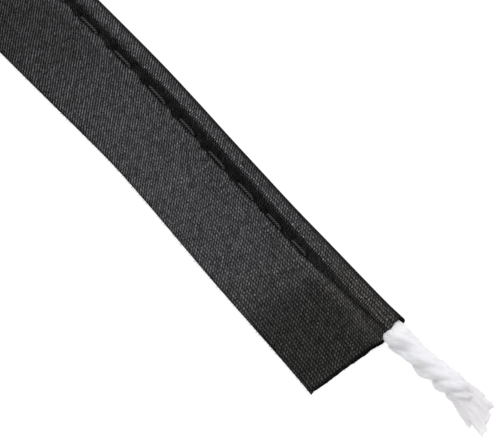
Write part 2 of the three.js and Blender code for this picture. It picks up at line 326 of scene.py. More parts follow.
# The frayed end: locks of fibre, each from its root in the cord to its tip, past the mouth and
# across, with the tip's height and the lock's width and thickness.
LOCKS = table(
    "root from tip to height wide thick taper hairs",
    (8.4, 0.75, 12.9, 1.68, 1.0, 1.8, 1.5, 0.62, 3),
    (11, 1.3, 14.85, 2.68, 1.0, 0.5, 0.5, 0.8, 1),
    (8.8, 0.65, 14.45, 1.6, 1.1, 1.8, 1.6, 0.62, 4),
    (9.0, 0.35, 15.2, 0.8, 0.6, 1.7, 1.4, 0.64, 4),
    (9.4, 0.1, 15.4, 0.15, 0.5, 1.35, 1.1, 0.72, 3),
    (9.2, -0.1, 16.45, -0.5, 0.55, 1.5, 1.2, 0.77, 4),
    (9.6, -0.25, 14.5, -0.85, 0.5, 1.2, 1.0, 0.7, 3),
)
LOCK_STEPS, LOCK_SIDES, LOCK_SEED = 14, 10, 7
# How the bundles of a lock part: shares of its width at the root and the tip, and how much each
# strays. A bundle bows out, and swells and narrows again towards its tip.
ROOT_SPREAD, TIP_SPREAD = 0.5, 0.55
MOST_SHORTER, STRAYS_ASIDE, STRAYS_UP, ROOT_STRAYS_UP = 0.4, 0.08, 0.12, 0.1
BOW_AHEAD, BOW_ACROSS = 0.55, 0.3
SWELL_FROM, SWELL_POWER = 0.2, 0.8
THINNEST_BUNDLE, THICKEST_BUNDLE = 0.5, 0.75

# Fibres that stand out of a surface: how many to a square millimetre, their sizes, and how far
# they lean. Each one is a short arc, drawn 1 long.
FIBRE_SIZES = ("Density", "Length", "Thickness", "Lean")
CUT_YARN_ENDS = dict(zip(FIBRE_SIZES, (14 / MM**2, 0.3 * MM, 0.014 * MM, 0.7)))
COTTON_FIBRES = dict(zip(FIBRE_SIZES, (5 / MM**2, 0.6 * MM, 0.012 * MM, 1.25)))
FIBRE_ARC = {"Start": (0.0, 0.0, -0.1), "Middle": (0.05, 0.0, 0.6), "End": (0.42, 0.1, 0.9)}
FIBRE_STEPS, FIBRE_SIDES = 4, 3
SHORTEST_FIBRE, LONGEST_FIBRE = 0.4, 1.0
PLACE_SEED, LEAN_SEED, LENGTH_SEED = 11, 5, 8

# Where the strip lies in the part's own frame.
cover_low, cover_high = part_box("satin_cover")
CORD_SIDE = 4.61
STRIP_ORIGIN = np.array([cover_low.x / MM, cover_high.y / MM - CORD_SIDE, 0.0])


def between(rows, column, place, value):
    """One column's value at places in another column, on a smooth curve through the rows."""
    x, y = rows[column], rows[value]
    slope = np.gradient(y, x)
    slope[1:-1] = (y[2:] - y[:-2]) / (x[2:] - x[:-2])
    place = np.clip(place, x[0], x[-1])
    k = np.clip(np.searchsorted(x, place, side="right") - 1, 0, len(x) - 2)
    step = x[k + 1] - x[k]
    t = (place - x[k]) / step
    t2, t3 = t * t, t * t * t
    return (
        (2 * t3 - 3 * t2 + 1) * y[k]
        + (t3 - 2 * t2 + t) * slope[k] * step
        + (3 * t2 - 2 * t3) * y[k + 1]
        + (t3 - t2) * slope[k + 1] * step
    )


def lerp(a, b, share):
    return a + (b - a) * share


def ramp(value, low, high):
    """0 below low and 1 above high, with a smooth way between them."""
    t = np.clip((value - low) / (high - low), 0, 1)
    return t * t * (3 - 2 * t)


def unit(vectors):
    return vectors / np.linalg.norm(vectors, axis=-1, keepdims=True)


def to_metres(points):
    return (np.asarray(points) + STRIP_ORIGIN) * MM


def put_in_scene(name, data):
    made = bpy.data.objects.new(name, data)
    bpy.context.scene.collection.objects.link(made)
    return made


def make_piece(name, points, faces, finishes):
    """A mesh piece of points in the strip's frame."""
    mesh = bpy.data.meshes.new(name)
    mesh.from_pydata(to_metres(points).tolist(), [], faces)
    mesh.validate()
    for finish in finishes:
        mesh.materials.append(finish)
    return put_in_scene(name, mesh)


def set_attribute(mesh, name, kind, values):
    made = mesh.attributes.new(name, kind, "POINT")
    key = "vector" if kind == "FLOAT_VECTOR" else "value"
    made.data.foreach_set(key, np.asarray(values, np.float32).ravel())


# Materials


def linear(colour):
    """An sRGB hex colour as a linear one."""
    parts = [int(colour[i : i + 2], 16) / 255 for i in (1, 3, 5)]
    turned = [c / 12.92 if c <= 0.04045 else ((c + 0.055) / 1.055) ** 2.4 for c in parts]
    return (*turned, 1.0)


def add(tree, kind, links=None, **settings):
    """Adds a node. links gives an input, by name or number, a value or another node's output."""
    node = tree.nodes.new(kind)
    for name, value in settings.items():
        setattr(node, name, value)
    for name, value in (links or {}).items():
        if isinstance(value, bpy.types.NodeSocket):
            tree.links.new(value, node.inputs[name])
        else:
            node.inputs[name].default_value = value
    return node


def maths(tree, operation, *values):
    return add(tree, "ShaderNodeMath", dict(enumerate(values)), operation=operation).outputs[0]


def mixed(tree, share, first, second, blend="MIX"):
    """The first colour with a share of the second in it."""
    return add(
        tree,
        "ShaderNodeMix",
        {"Factor": share, 6: first, 7: second},
        data_type="RGBA",
        blend_type=blend,
    ).outputs[2]


def rescaled(tree, value, low, high, least, most):
    """A value between low and high turned into one between least and most."""
    ends = {"From Min": low, "From Max": high, "To Min": least, "To Max": most}
    return add(tree, "ShaderNodeMapRange", {"Value": value, **ends}).outputs["Result"]


def noise_at(tree, place, scale, detail, **more):
    inputs = {"Vector": place, "Scale": scale, "Detail": detail, **more}
    return add(tree, "ShaderNodeTexNoise", inputs).outputs


def bumped(tree, height, strength, depth):
    """A surface with fine relief, as deep in millimetres as depth."""
    relief = {"Height": height, "Strength": strength, "Distance": depth * MM}
    return add(tree, "ShaderNodeBump", relief).outputs["Normal"]


def new_finish(name):
    """An empty material, with its tree."""
    made = bpy.data.materials.new(name)
    made.use_nodes = True
    made.node_tree.nodes.clear()
    return made, made.node_tree


def finish_with(tree, inputs):
    shader = add(tree, "ShaderNodeBsdfPrincipled", inputs)
    add(tree, "ShaderNodeOutputMaterial", {"Surface": shader.outputs["BSDF"]})


# The satin's weave: warp floats lie side by side in columns 0.28 mm apart, at 46 degrees to the
# strip because it is cut on the bias, and each float covers 0.51 mm before it goes under. Their
# painted sheen is the sum of three waves: across the columns, and along the floats' two
# diagonals. The diagonals come out more and more towards the near end, as painted light for how
# the sheen on the floats changes there.
FLOAT_PITCH = 0.28
FLOAT_LENGTH = 0.51
FLOAT_STAGGER = 0.56
BIAS_ANGLE = math.radians(46.4)
WEAVE_WAVES = table(
    "along_float across_float centre far near",
    (0, 1 / FLOAT_PITCH, 0.5, 0.47, 0.27),
    (1 / FLOAT_LENGTH, FLOAT_STAGGER / FLOAT_PITCH, 0.75, 0.05, 0.29),
    (1 / FLOAT_LENGTH, (FLOAT_STAGGER - 1) / FLOAT_PITCH, 0.25, 0.04, 0.15),
)
WEAVE_FAR, WEAVE_NEAR = 28, 64
WEAVE_LEVEL = 0.5
# The threads sway by a quarter of a millimetre, and the light on them is uneven: in slow patches,
# and in a fine grain along each float. Scales are turns of the noise to a millimetre.
WEAVE_SWAY, SWAY_SCALE = 0.24, 0.4
PATCH_SCALE, PATCH_LEAST, PATCH_MOST = 0.22, 0.95, 1.05
GRAIN_SCALE, GRAIN_LEAST, GRAIN_MOST = (4.2, 6.0, 1.0), 0.2, 1.8
NOISE_LOW, NOISE_HIGH = 0.3, 0.7
# The near end is tinted a little warmer.
WARM_FROM, WARM_TO, WARM_TINT = 56, 64, "#fffbf2"
# The gaps between the floats are rougher, and lie deeper than the floats by FLOAT_RELIEF.
GAPS_ROUGHER, FLOAT_RELIEF = 0.3, 0.05
# Spun and cut fibres are too fine to show, so they are drawn in specks and streaks of this many
# to a millimetre; on the thread the light specks also stand in for painted highlights on its
# twist.
# On the cotton they run along the twist.
YARN_END_SPECKS, THREAD_SPECKS = 6 / MM, 9 / MM
COTTON_STREAKS = (0.28, 3.4, 3.4)


def woven_satin(name, floats_dark, floats_light, gaps, roughness, relief):
    """Black polyester satin: smooth floats in slanting columns with dark gaps between. Painted
    sheen and shade from the cloth's attributes make it duller at the near end, glint on the crest,
    and dark in the needle holes and where the cloth stands on edge."""
    made, tree = new_finish(name)
    cloth = add(tree, "ShaderNodeUVMap", uv_map="cloth").outputs["UV"]
    sway = noise_at(tree, cloth, SWAY_SCALE, 3.0)["Color"]
    bent = add(
        tree,
        "ShaderNodeVectorMath",
        {0: sway, 1: (WEAVE_SWAY, WEAVE_SWAY, 0.0), 2: cloth},
        operation="MULTIPLY_ADD",
    ).outputs["Vector"]
    threads = add(
        tree, "ShaderNodeMapping", {"Vector": bent, "Rotation": (0.0, 0.0, -BIAS_ANGLE)}
    ).outputs["Vector"]
    floats = add(
        tree,
        "ShaderNodeTexBrick",
        {
            "Vector": threads,
            "Color1": linear(floats_dark),
            "Color2": linear(floats_light),
            "Scale": 1.0,
            "Mortar Size": 0.0,
            "Bias": 0.0,
            "Brick Width": FLOAT_LENGTH,
            "Row Height": FLOAT_PITCH,
        },
        offset=FLOAT_STAGGER,
        offset_frequency=2,
    ).outputs["Color"]
    along = add(tree, "ShaderNodeSeparateXYZ", {"Vector": cloth}).outputs["X"]
    raised = WEAVE_LEVEL
    for along_float, across_float, centre, far, near in zip(*WEAVE_WAVES.values()):
        turns = add(
            tree,
            "ShaderNodeVectorMath",
            {0: threads, 1: (2 * math.pi * along_float, 2 * math.pi * across_float, 0.0)},
            operation="DOT_PRODUCT",
        ).outputs["Value"]
        lag = maths(tree, "SUBTRACT", turns, 2 * math.pi * centre)
        wave = maths(tree, "COSINE", lag)
        strength = rescaled(tree, along, WEAVE_FAR, WEAVE_NEAR, far, near)
        raised = maths(tree, "MULTIPLY_ADD", wave, strength, raised)
    shown = add(tree, "ShaderNodeClamp", {"Value": raised}).outputs["Result"]
    lit = mixed(tree, shown, linear(gaps), floats)
    patches = noise_at(tree, cloth, PATCH_SCALE, 1.0)["Fac"]
    fibres = add(
        tree, "ShaderNodeMapping", {"Vector": threads, "Scale": GRAIN_SCALE}
    ).outputs["Vector"]
    grain = noise_at(tree, fibres, 1.0, 2.0)["Fac"]
    # Painted light: the sheen and shade painted for each point of the cloth, which scales its
    # colour.
    seen = add(tree, "ShaderNodeAttribute", attribute_name="painted_light").outputs["Fac"]
    for noise, least, most in (
        (patches, PATCH_LEAST, PATCH_MOST),
        (grain, GRAIN_LEAST, GRAIN_MOST),
    ):
        uneven = rescaled(tree, noise, NOISE_LOW, NOISE_HIGH, least, most)
        seen = maths(tree, "MULTIPLY", seen, uneven)
    # Painted highlight: a dotted row of glints along the floats, where the cloth's glint attribute
    # is high.
    painted_glint = add(tree, "ShaderNodeAttribute", attribute_name="painted_glint").outputs["Fac"]
    ahead = maths(tree, "MULTIPLY", along, 2 * math.pi / FLOAT_PITCH)
    dots = maths(tree, "COSINE", ahead)
    rounded = maths(tree, "MULTIPLY_ADD", dots, 0.5, 0.5)
    sharp = maths(tree, "POWER", rounded, GLINT_SHARPNESS)
    glints = maths(tree, "SUBTRACT", sharp, GLINT_GAPS)
    on_crest = maths(tree, "MULTIPLY_ADD", painted_glint, glints, 1.0)
    seen = maths(tree, "MULTIPLY", seen, on_crest)
    warmth = rescaled(tree, along, WARM_FROM, WARM_TO, 0.0, 1.0)
    tinted = mixed(tree, warmth, lit, linear(WARM_TINT), "MULTIPLY")
    colour = add(
        tree, "ShaderNodeVectorMath", {0: tinted, "Scale": seen}, operation="SCALE"
    ).outputs["Vector"]
    gloss = rescaled(tree, shown, 0.0, 1.0, roughness + GAPS_ROUGHER, roughness)
    bump = bumped(tree, shown, strength=relief, depth=FLOAT_RELIEF)
    finish_with(
        tree,
        {
            "Base Color": colour,
            "Roughness": gloss,
            "Normal": bump,
            "Specular IOR Level": 0.03,
        },
    )
    return made


def cut_satin_edge():
    """The raw edge of the satin: a dense row of cut black yarn ends that swallows the light."""
    made, tree = new_finish("cut_satin_edge")
    place = add(tree, "ShaderNodeTexCoord").outputs["Object"]
    ends = noise_at(tree, place, YARN_END_SPECKS, 2.0)["Fac"]
    colour = mixed(tree, ends, linear("#030303"), linear("#161617"))
    bump = bumped(tree, ends, strength=0.8, depth=0.05)
    finish_with(
        tree,
        {
            "Base Color": colour,
            "Roughness": 0.95,
            "Normal": bump,
            "Specular IOR Level": 0.1,
        },
    )
    return made


def sewing_thread():
    """Black spun polyester sewing thread: two plies, softer than satin, with lighter specks that
    are partly its fibres and partly painted highlights on its twist.
    """
    made, tree = new_finish("black_sewing_thread")
    place = add(tree, "ShaderNodeTexCoord").outputs["Object"]
    fibres = noise_at(tree, place, THREAD_SPECKS, 3.0)["Fac"]
    colour = mixed(tree, fibres, linear("#161617"), linear("#49494c"))
    bump = bumped(tree, fibres, strength=0.5, depth=0.03)
    finish_with(tree, {"Base Color": colour, "Roughness": 0.5, "Normal": bump})
    return made


def soft_cotton():
    """Bleached cotton roving: matt, soft and full of fine fibres that follow the twist, with
    painted shade, a trace of grey, in the creases and at the frayed end."""
    made, tree = new_finish("bleached_cotton")
    laid = add(tree, "ShaderNodeAttribute", attribute_name="laid").outputs["Vector"]
    stretched = add(
        tree, "ShaderNodeMapping", {"Vector": laid, "Scale": COTTON_STREAKS}
    ).outputs["Vector"]
    fibres = noise_at(tree, stretched, 1.0, 4.0, Roughness=0.6)["Fac"]
    depth = add(tree, "ShaderNodeAttribute", attribute_name="depth").outputs["Fac"]
    fibre_colour = mixed(tree, fibres, linear("#d9d9dd"), linear("#fcfcff"))
    colour = mixed(tree, depth, fibre_colour, linear("#dedbde"))
    bump = bumped(tree, fibres, strength=0.7, depth=0.18)
    finish_with(
        tree,
        {
            "Base Color": colour,
            "Roughness": 0.9,
            "Normal": bump,
            "Specular IOR Level": 0.2,
            "Subsurface Weight": 0.7,
            "Subsurface Radius": (1.0, 0.95, 0.9),
            "Subsurface Scale": 1.0 * MM,
        },
    )
    return made


def white_card():
    """The studio's white card, lit from behind, so that hardly a shadow shows on it."""
    made, tree = new_finish("white_card")
    finish_with(
        tree,
        {
            "Base Color": linear("#606060"),
            "Roughness": 1.0,
            "Specular IOR Level": 0.0,
            "Emission Color": linear("#ffffff"),
            "Emission Strength": 0.93,
        },
    )
    return made


# The face's float greys stand in for the floats' sheen as well as their black: painted sheen. The
# back's greys are darker and rougher.
satin = woven_satin("black_satin", "#4c4c4e", "#6c6c6f", "#020202", 0.45, 0.6)
satin_back = woven_satin("black_satin_back", "#0f0f10", "#1c1c1d", "#070707", 0.75, 0.4)
cut_edge = cut_satin_edge()
thread = sewing_thread()
cotton = soft_cotton()
card = white_card()


# Satin cover


def cover_section():
    """The cloth's middle in section, as a table with a row for each 0.2 to 0.4 mm of cloth."""
    angle = np.radians(np.linspace(TUNNEL_FROM, TUNNEL_TO, TUNNEL_POINTS))
    wall_out = TUNNEL_RADIUS * np.sin(angle)
    wall_height = TUNNEL_HEIGHT + TUNNEL_RADIUS * np.cos(angle)
    below = {"out": UNDER_LAYER["out"], "height": UNDER_LAYER["height"]}
    round_wall = {"out": wall_out, "height": wall_height}
    rough = {
        name: np.concatenate([part[name.split("_")[-1]] for part in (below, round_wall)] + [over])
        for name, over in UPPER_LAYER.items()
    }
    under_points = len(rough["out"]) - len(UPPER_LAYER["out"])
    rough["upper"] = (np.arange(len(rough["out"])) >= under_points).astype(float)
    names = list(rough)
    strides = np.hypot(np.diff(rough["out"]), np.diff(rough["height"]))
    rough["run"] = np.concatenate([[0], np.cumsum(strides)])
    fine = np.linspace(0, rough["run"][-1], SECTION_SAMPLES)
    near = between(rough, "run", fine, "out") < FINE_WITHIN
    need = np.where(near, 1 / FINE_STEP, 1 / FLANGE_STEP) * fine[1]
    count = np.concatenate([[0], np.cumsum(need[1:])])
    run = np.interp(np.linspace(0, count[-1], round(count[-1]) + 1), count, fine)
    section = {name: between(rough, "run", run, name) for name in names}
    section["run"] = run
    return section


def stitched(along):
    """How hard the nearest stitch holds the cloth down: 0 between two, and up to 1 in one."""
    held = np.zeros_like(along)
    for start, length, pull in zip(*STITCHES.values()):
        end = start + length
        rise = ramp(along, start - STITCH_EASE, start + STITCH_BITE)
        fall = 1 - ramp(along, end - STITCH_BITE, end + STITCH_EASE)
        held = np.maximum(held, pull * rise * fall)
        dent = np.exp(-(((along - start + DENT_BEFORE) / DENT_WIDTH) ** 2))
        held = np.maximum(held, DENT_PULL * pull * dent)
    return held


def needle_holes():
    ends = STITCHES["start"] + STITCHES["length"]
    return np.sort(np.concatenate([STITCHES["start"], ends]))


def lay_cloth(section, along):
    """The cloth's middle as a grid of points, a row for each place along the strip."""
    cord_at, reach, spread, groove = (
        between(LIE, "along", along, name)[:, None] for name in list(LIE)[1:]
    )
    loose = 1 - stitched(along)[:, None]
    sewn_out = lerp(section["out"], section["loose_out"], loose)
    sewn_height = lerp(section["height"], section["loose_height"], loose)
    out = lerp(section["free_out"], sewn_out, groove)
    height = lerp(section["free_height"], sewn_height, groove)
    out = np.where(out > 0, out * spread, out)
    beyond = TUNNEL_RADIUS * spread + (out / spread - TUNNEL_RADIUS)
    out = np.where(out > TUNNEL_RADIUS * spread, beyond, out)
    edge = FULL_REACH + TUNNEL_RADIUS * (spread - 1)
    share = np.clip((out - FLANGE_FROM) / (edge - FLANGE_FROM), 0, None)
    out = out + (reach - edge) * share
    flange = ramp(out, *RIPPLES_GROW) * section["upper"]
    place = along[:, None] + 0 * out
    for wave, across, turn, size in zip(*RIPPLES.values()):
        height = height + size * flange * np.sin(
            2 * math.pi * (place / wave + out / across) + turn
        )
    fade = ramp(along, CLOTH_LENGTH - CUT_LINE_FADE, CLOTH_LENGTH)[:, None]
    ahead = between(CUT_LINE, "out", out, "ahead") * fade
    return np.stack([place + ahead, cord_at - out, height], axis=-1)


def groove_left(along):
    return between(LIE, "along", along, "groove")[:, None]


def painted_crest_glints(section, along):
    """How bright the painted highlights of single floats are at each point: on the tunnel's crest
    and beside stitches.
    """
    run = section["run"][None, :]
    groove = groove_left(along)
    crest_run = between(PAINTED_SHINE, "along", along, "wall_from")[:, None] - CREST_BEFORE_WALL
    width = lerp(LOOSE_CREST_WIDTH, CREST_WIDTH, groove)
    shine = lerp(LOOSE_CREST_SHINE, CREST_SHINE, groove)
    held = np.clip(stitched(along), 0, 1)[:, None]
    on_bank = BANK_GLINT * held * np.exp(-(((run - BANK_RUN) / BANK_WIDTH) ** 2))
    return shine * np.exp(-(((run - crest_run) / width) ** 2)) + on_bank


def near_crease(section, along):
    """How much each point of the cloth is in the crease at the near end, for its sinking and its
    painted shade, and on its bank, for a painted highlight.
    """
    at, dark = (between(CREASE, "along", along, name)[:, None] for name in ("run", "dark"))
    past = section["run"][None, :] - at
    bank = np.exp(-(((past - CREASE_BANK_AFTER) / CREASE_BANK_WIDTH) ** 2))
    return dark * np.exp(-((past / CREASE_WIDTH) ** 2)), dark * bank


def painted_satin_light(section, along, outward):
    """Painted sheen and shade for the satin's face at each point, from how the cloth lies: painted
    shade where it stands on edge, in the seam's trench, in the near crease and before the near
    cut, and painted highlights on the banks.
    """
    run = section["run"][None, :]
    flange, tunnel, edge, wall_from = (
        between(PAINTED_SHINE, "along", along, name)[:, None] for name in list(PAINTED_SHINE)[1:]
    )
    beyond = ramp(section["out"], *FLANGE_SHINE) * section["upper"]
    shine = lerp(tunnel, flange, beyond[None, :])
    level = np.abs(outward[..., 2])
    faces_flange = outward[..., 1] < 0
    lies_flat = np.where(
        faces_flange,
        ramp(level, ON_EDGE, LIES_FLAT),
        ramp(level, ON_FAR_EDGE, LIES_FLAT_BEYOND),
    )
    held = np.clip(stitched(along), 0, 1)[:, None]
    trench_end = lerp(TRENCH_TO - TRENCH_LOOSE_SHORTER, TRENCH_TO, held)
    groove = groove_left(along)
    trench = ramp(run, wall_from - TRENCH_EASE, wall_from) * (
        1 - ramp(run, trench_end - TRENCH_FADE, trench_end)
    )
    trench = trench * ramp(groove, *TRENCH_SHOWS)
    lies_flat = np.minimum(lies_flat, 1 - TRENCH_DARKENS * trench)
    crease, crease_bank = near_crease(section, along)
    bank = BANK_SHINE * held * np.exp(-(((run - BANK_RUN) / BANK_WIDTH) ** 2))
    on_edge = np.where(faces_flange, edge, FAR_EDGE_SHINE)
    lit = 1 + bank + CREASE_BANK_SHINE * crease_bank
    at_cut = ramp(along, CLOTH_LENGTH - CUT_SHADE_REACH, CLOTH_LENGTH)[:, None]
    on_flange = ramp(section["out"], *CUT_DARK_FROM) * section["upper"]
    on_flange = on_flange * (1 - ramp(section["out"], *CUT_DARK_TO))
    lit = lit * (1 - CUT_DARKENS * at_cut * on_flange)
    return shine * lerp(on_edge, 1, lies_flat) * lit * (1 - crease)


def satin_shell(section, along, middle):
    """The cover with the cloth's thickness: its satin face, its back and its raw edges."""
    outward = unit(np.cross(np.gradient(middle, axis=1), np.gradient(middle, axis=0)))
    rows, columns = middle.shape[:2]
    holes = needle_holes()
    off = np.min(np.abs(along[:, None] - holes), axis=1)
    aside = np.abs(section["out"] - VALLEY_OUT) + OTHER_LAYER * (section["upper"] < 0.5)
    pit = np.exp(-((off[:, None] / HOLE_REACH) ** 2) - (aside[None, :] / HOLE_REACH) ** 2)
    sunk = HOLE_DEPTH * pit + CREASE_DEPTH * near_crease(section, along)[0]
    face = middle + outward * (CLOTH_THICKNESS / 2 - sunk)[..., None]
    back = middle - outward * CLOTH_THICKNESS / 2
    dice = np.random.default_rng(CUT_SEED)
    for end in (0, -1):
        ragged = dice.normal(0, CUT_RAGGEDNESS, columns)
        face[end, :, 0] += ragged
        back[end, :, 0] += ragged
    points = np.concatenate([face.reshape(-1, 3), back.reshape(-1, 3)])
    grid = np.arange(rows * columns).reshape(rows, columns)
    a, b, c, d = grid[:-1, :-1], grid[:-1, 1:], grid[1:, 1:], grid[1:, :-1]
    face_quads = np.stack([a, b, c, d], axis=-1).reshape(-1, 4)
    back_quads = face_quads[:, ::-1] + rows * columns
    loop = np.concatenate([grid[0, :-1], grid[:-1, -1], grid[-1, :0:-1], grid[:0:-1, 0]])
    after = np.roll(loop, -1)
    under = rows * columns
    rim_quads = np.stack([after, loop, loop + under, after + under], axis=-1)
    quads = np.concatenate([face_quads, back_quads, rim_quads])
    cover = make_piece("folded_satin_cover", points, quads.tolist(), [satin, satin_back, cut_edge])
    mesh = cover.data
    count = len(face_quads)
    finish = np.repeat([0, 1, 2], [count, count, len(rim_quads)])
    mesh.polygons.foreach_set("material_index", finish)
    mesh.polygons.foreach_set("use_smooth", finish < 2)
    flat_cloth = np.stack(
        np.broadcast_arrays(middle[..., 0], section["run"][None, :]), axis=-1
    ).reshape(-1, 2)
    corners = np.empty(len(mesh.loops), int)
    mesh.loops.foreach_get("vertex_index", corners)
    cloth_map = mesh.uv_layers.new(name="cloth")
    cloth_map.data.foreach_set("uv", flat_cloth[corners % under].ravel())
    # Painted light for the face: painted sheen and shade, with painted shade in the needle holes.
    painted_light = painted_satin_light(section, along, outward) * (1 - HOLE_DARKENS * pit)
    set_attribute(mesh, "painted_light", "FLOAT", np.concatenate([painted_light.ravel(), np.ones(under)]))
    glint = painted_crest_glints(section, along).ravel()
    set_attribute(mesh, "painted_glint", "FLOAT", np.concatenate([glint, np.zeros(under)]))
    rim = make_piece("raw_edges", points, rim_quads.tolist(), [])
    return cover, rim


section = cover_section()
stations = np.linspace(0, CLOTH_LENGTH, round(CLOTH_LENGTH / ALONG_STEP) + 1)
cloth_middle = lay_cloth(section, stations)
cover, raw_edges = satin_shell(section, stations, cloth_middle)


# What repeats: stitches and loose fibres


def new_tree(name, inputs):
    """A geometry tree with named number inputs, and the node that gives them."""
    tree = bpy.data.node_groups.new(name, "GeometryNodeTree")
    tree.interface.new_socket("Geometry", in_out="INPUT", socket_type="NodeSocketGeometry")
    tree.interface.new_socket("Geometry", in_out="OUTPUT", socket_type="NodeSocketGeometry")
    for label in inputs:
        tree.interface.new_socket(label, in_out="INPUT", socket_type="NodeSocketFloat")
    return tree, add(tree, "NodeGroupInput").outputs


def grown(carrier, tree, sizes, name):
    """Runs a geometry tree on a carrier, and gives the result as a plain mesh piece. The
    carrier isn't kept."""
    run = carrier.modifiers.new("grow", "NODES")
    run.node_group = tree
    for item in tree.interface.items_tree:
        if item.in_out == "INPUT" and item.name in sizes:
            run[item.identifier] = sizes[item.name]
    seen = carrier.evaluated_get(bpy.context.evaluated_depsgraph_get())
    mesh = bpy.data.meshes.new_from_object(seen)
    mesh.name = name
    bpy.data.objects.remove(carrier)
    return put_in_scene(name, mesh)


def thickened(tree, curve, radius, sides):
    """A curve as a thin rod."""
    circle = {"Resolution": sides, "Radius": radius}
    ring = add(tree, "GeometryNodeCurvePrimitiveCircle", circle).outputs["Curve"]
    rod = {"Curve": curve, "Profile Curve": ring, "Fill Caps": True}
    return add(tree, "GeometryNodeCurveToMesh", rod).outputs["Mesh"]


def set_out(tree, points, one, turned, sized, finish):
    """Ends a tree: one thing on each point, made real, with its finish."""
    inputs = {"Points": points, "Instance": one, "Rotation": turned, "Scale": sized}
    placed = add(tree, "GeometryNodeInstanceOnPoints", inputs).outputs["Instances"]
    real = add(tree, "GeometryNodeRealizeInstances", {"Geometry": placed}).outputs["Geometry"]
    inputs = {"Geometry": real, "Material": finish}
    finished = add(tree, "GeometryNodeSetMaterial", inputs).outputs["Geometry"]
    add(tree, "NodeGroupOutput", {0: finished})


def stitch_tree():
    """A stitch on each point: two plies twisted round each other, whose ends dive into the
    needle holes."""
    tree, given = new_tree("stitches", ("Ply", "Twists", "Length", "Dive"))
    half = maths(tree, "MULTIPLY", given["Length"], 0.5)
    spiral = add(
        tree,
        "GeometryNodeCurveSpiral",
        {
            "Resolution": SPIRAL_STEPS,
            "Rotations": given["Twists"],
            "Start Radius": given["Ply"],
            "End Radius": given["Ply"],
            "Height": given["Length"],
        },
    ).outputs["Curve"]
    other = add(
        tree, "GeometryNodeTransform", {"Geometry": spiral, "Rotation": (0.0, 0.0, math.pi)}
    ).outputs["Geometry"]
    plies = add(tree, "GeometryNodeJoinGeometry")
    tree.links.new(spiral, plies.inputs[0])
    tree.links.new(other, plies.inputs[0])
    solid = thickened(tree, plies.outputs[0], given["Ply"], PLY_SIDES)
    back = maths(tree, "MULTIPLY", half, -1.0)
    start = add(tree, "ShaderNodeCombineXYZ", {"X": back}).outputs["Vector"]
    lying = add(
        tree,
        "GeometryNodeTransform",
        {"Geometry": solid, "Translation": start, "Rotation": (0.0, math.pi / 2, 0.0)},
    ).outputs["Geometry"]
    place = add(tree, "GeometryNodeInputPosition").outputs["Position"]
    from_middle = add(tree, "ShaderNodeSeparateXYZ", {"Vector": place}).outputs["X"]
    share = maths(tree, "DIVIDE", from_middle, half)
    size = maths(tree, "ABSOLUTE", share)
    bend = maths(tree, "POWER", size, DIVE_POWER)
    drop = maths(tree, "MULTIPLY", given["Dive"], -1.0)
    fall = maths(tree, "MULTIPLY", bend, drop)
    offset = add(tree, "ShaderNodeCombineXYZ", {"Z": fall}).outputs["Vector"]
    stitch = add(
        tree, "GeometryNodeSetPosition", {"Geometry": lying, "Offset": offset}
    ).outputs["Geometry"]
    turn = add(
        tree, "GeometryNodeInputNamedAttribute", {"Name": "turn"}, data_type="FLOAT_VECTOR"
    ).outputs["Attribute"]
    turned = add(tree, "FunctionNodeEulerToRotation", {"Euler": turn}).outputs["Rotation"]
    stretch = add(
        tree, "GeometryNodeInputNamedAttribute", {"Name": "stretch"}, data_type="FLOAT_VECTOR"
    ).outputs["Attribute"]
    set_out(tree, given["Geometry"], stitch, turned, stretch, thread)
    return tree


def fibre_tree(name, finish):
    """Short bent fibres that stand out of a surface, leaning each its own way."""
    tree, given = new_tree(name, FIBRE_SIZES)
    share = add(
        tree, "GeometryNodeInputNamedAttribute", {"Name": "fuzz"}, data_type="FLOAT"
    ).outputs["Attribute"]
    density = maths(tree, "MULTIPLY", given["Density"], share)
    roots = add(
        tree,
        "GeometryNodeDistributePointsOnFaces",
        {"Mesh": given["Geometry"], "Density": density, "Seed": PLACE_SEED},
        distribute_method="RANDOM",
    )
    arc = add(
        tree, "GeometryNodeCurveQuadraticBezier", {"Resolution": FIBRE_STEPS, **FIBRE_ARC}
    ).outputs["Curve"]
    sized = add(tree, "GeometryNodeTransform", {"Geometry": arc, "Scale": given["Length"]})
    fibre = thickened(tree, sized.outputs["Geometry"], given["Thickness"], FIBRE_SIDES)
    back = maths(tree, "MULTIPLY", given["Lean"], -1.0)
    least = add(tree, "ShaderNodeCombineXYZ", {"X": back, "Y": back, "Z": 0.0}).outputs["Vector"]
    most = add(
        tree, "ShaderNodeCombineXYZ", {"X": given["Lean"], "Y": given["Lean"], "Z": 2 * math.pi}
    ).outputs["Vector"]
    angles = add(
        tree,
        "FunctionNodeRandomValue",
        {"Min": least, "Max": most, "Seed": LEAN_SEED},
        data_type="FLOAT_VECTOR",
    ).outputs["Value"]
    leaning = add(tree, "FunctionNodeEulerToRotation", {"Euler": angles}).outputs["Rotation"]
    turned = add(
        tree,
        "FunctionNodeRotateRotation",
        {"Rotation": roots.outputs["Rotation"], "Rotate By": leaning},
        rotation_space="LOCAL",
    ).outputs["Rotation"]
    lengths = add(
        tree,
        "FunctionNodeRandomValue",
        {2: SHORTEST_FIBRE, 3: LONGEST_FIBRE, "Seed": LENGTH_SEED},
        data_type="FLOAT",
    ).outputs[1]
    set_out(tree, roots.outputs["Points"], fibre, turned, lengths, finish)
    return tree


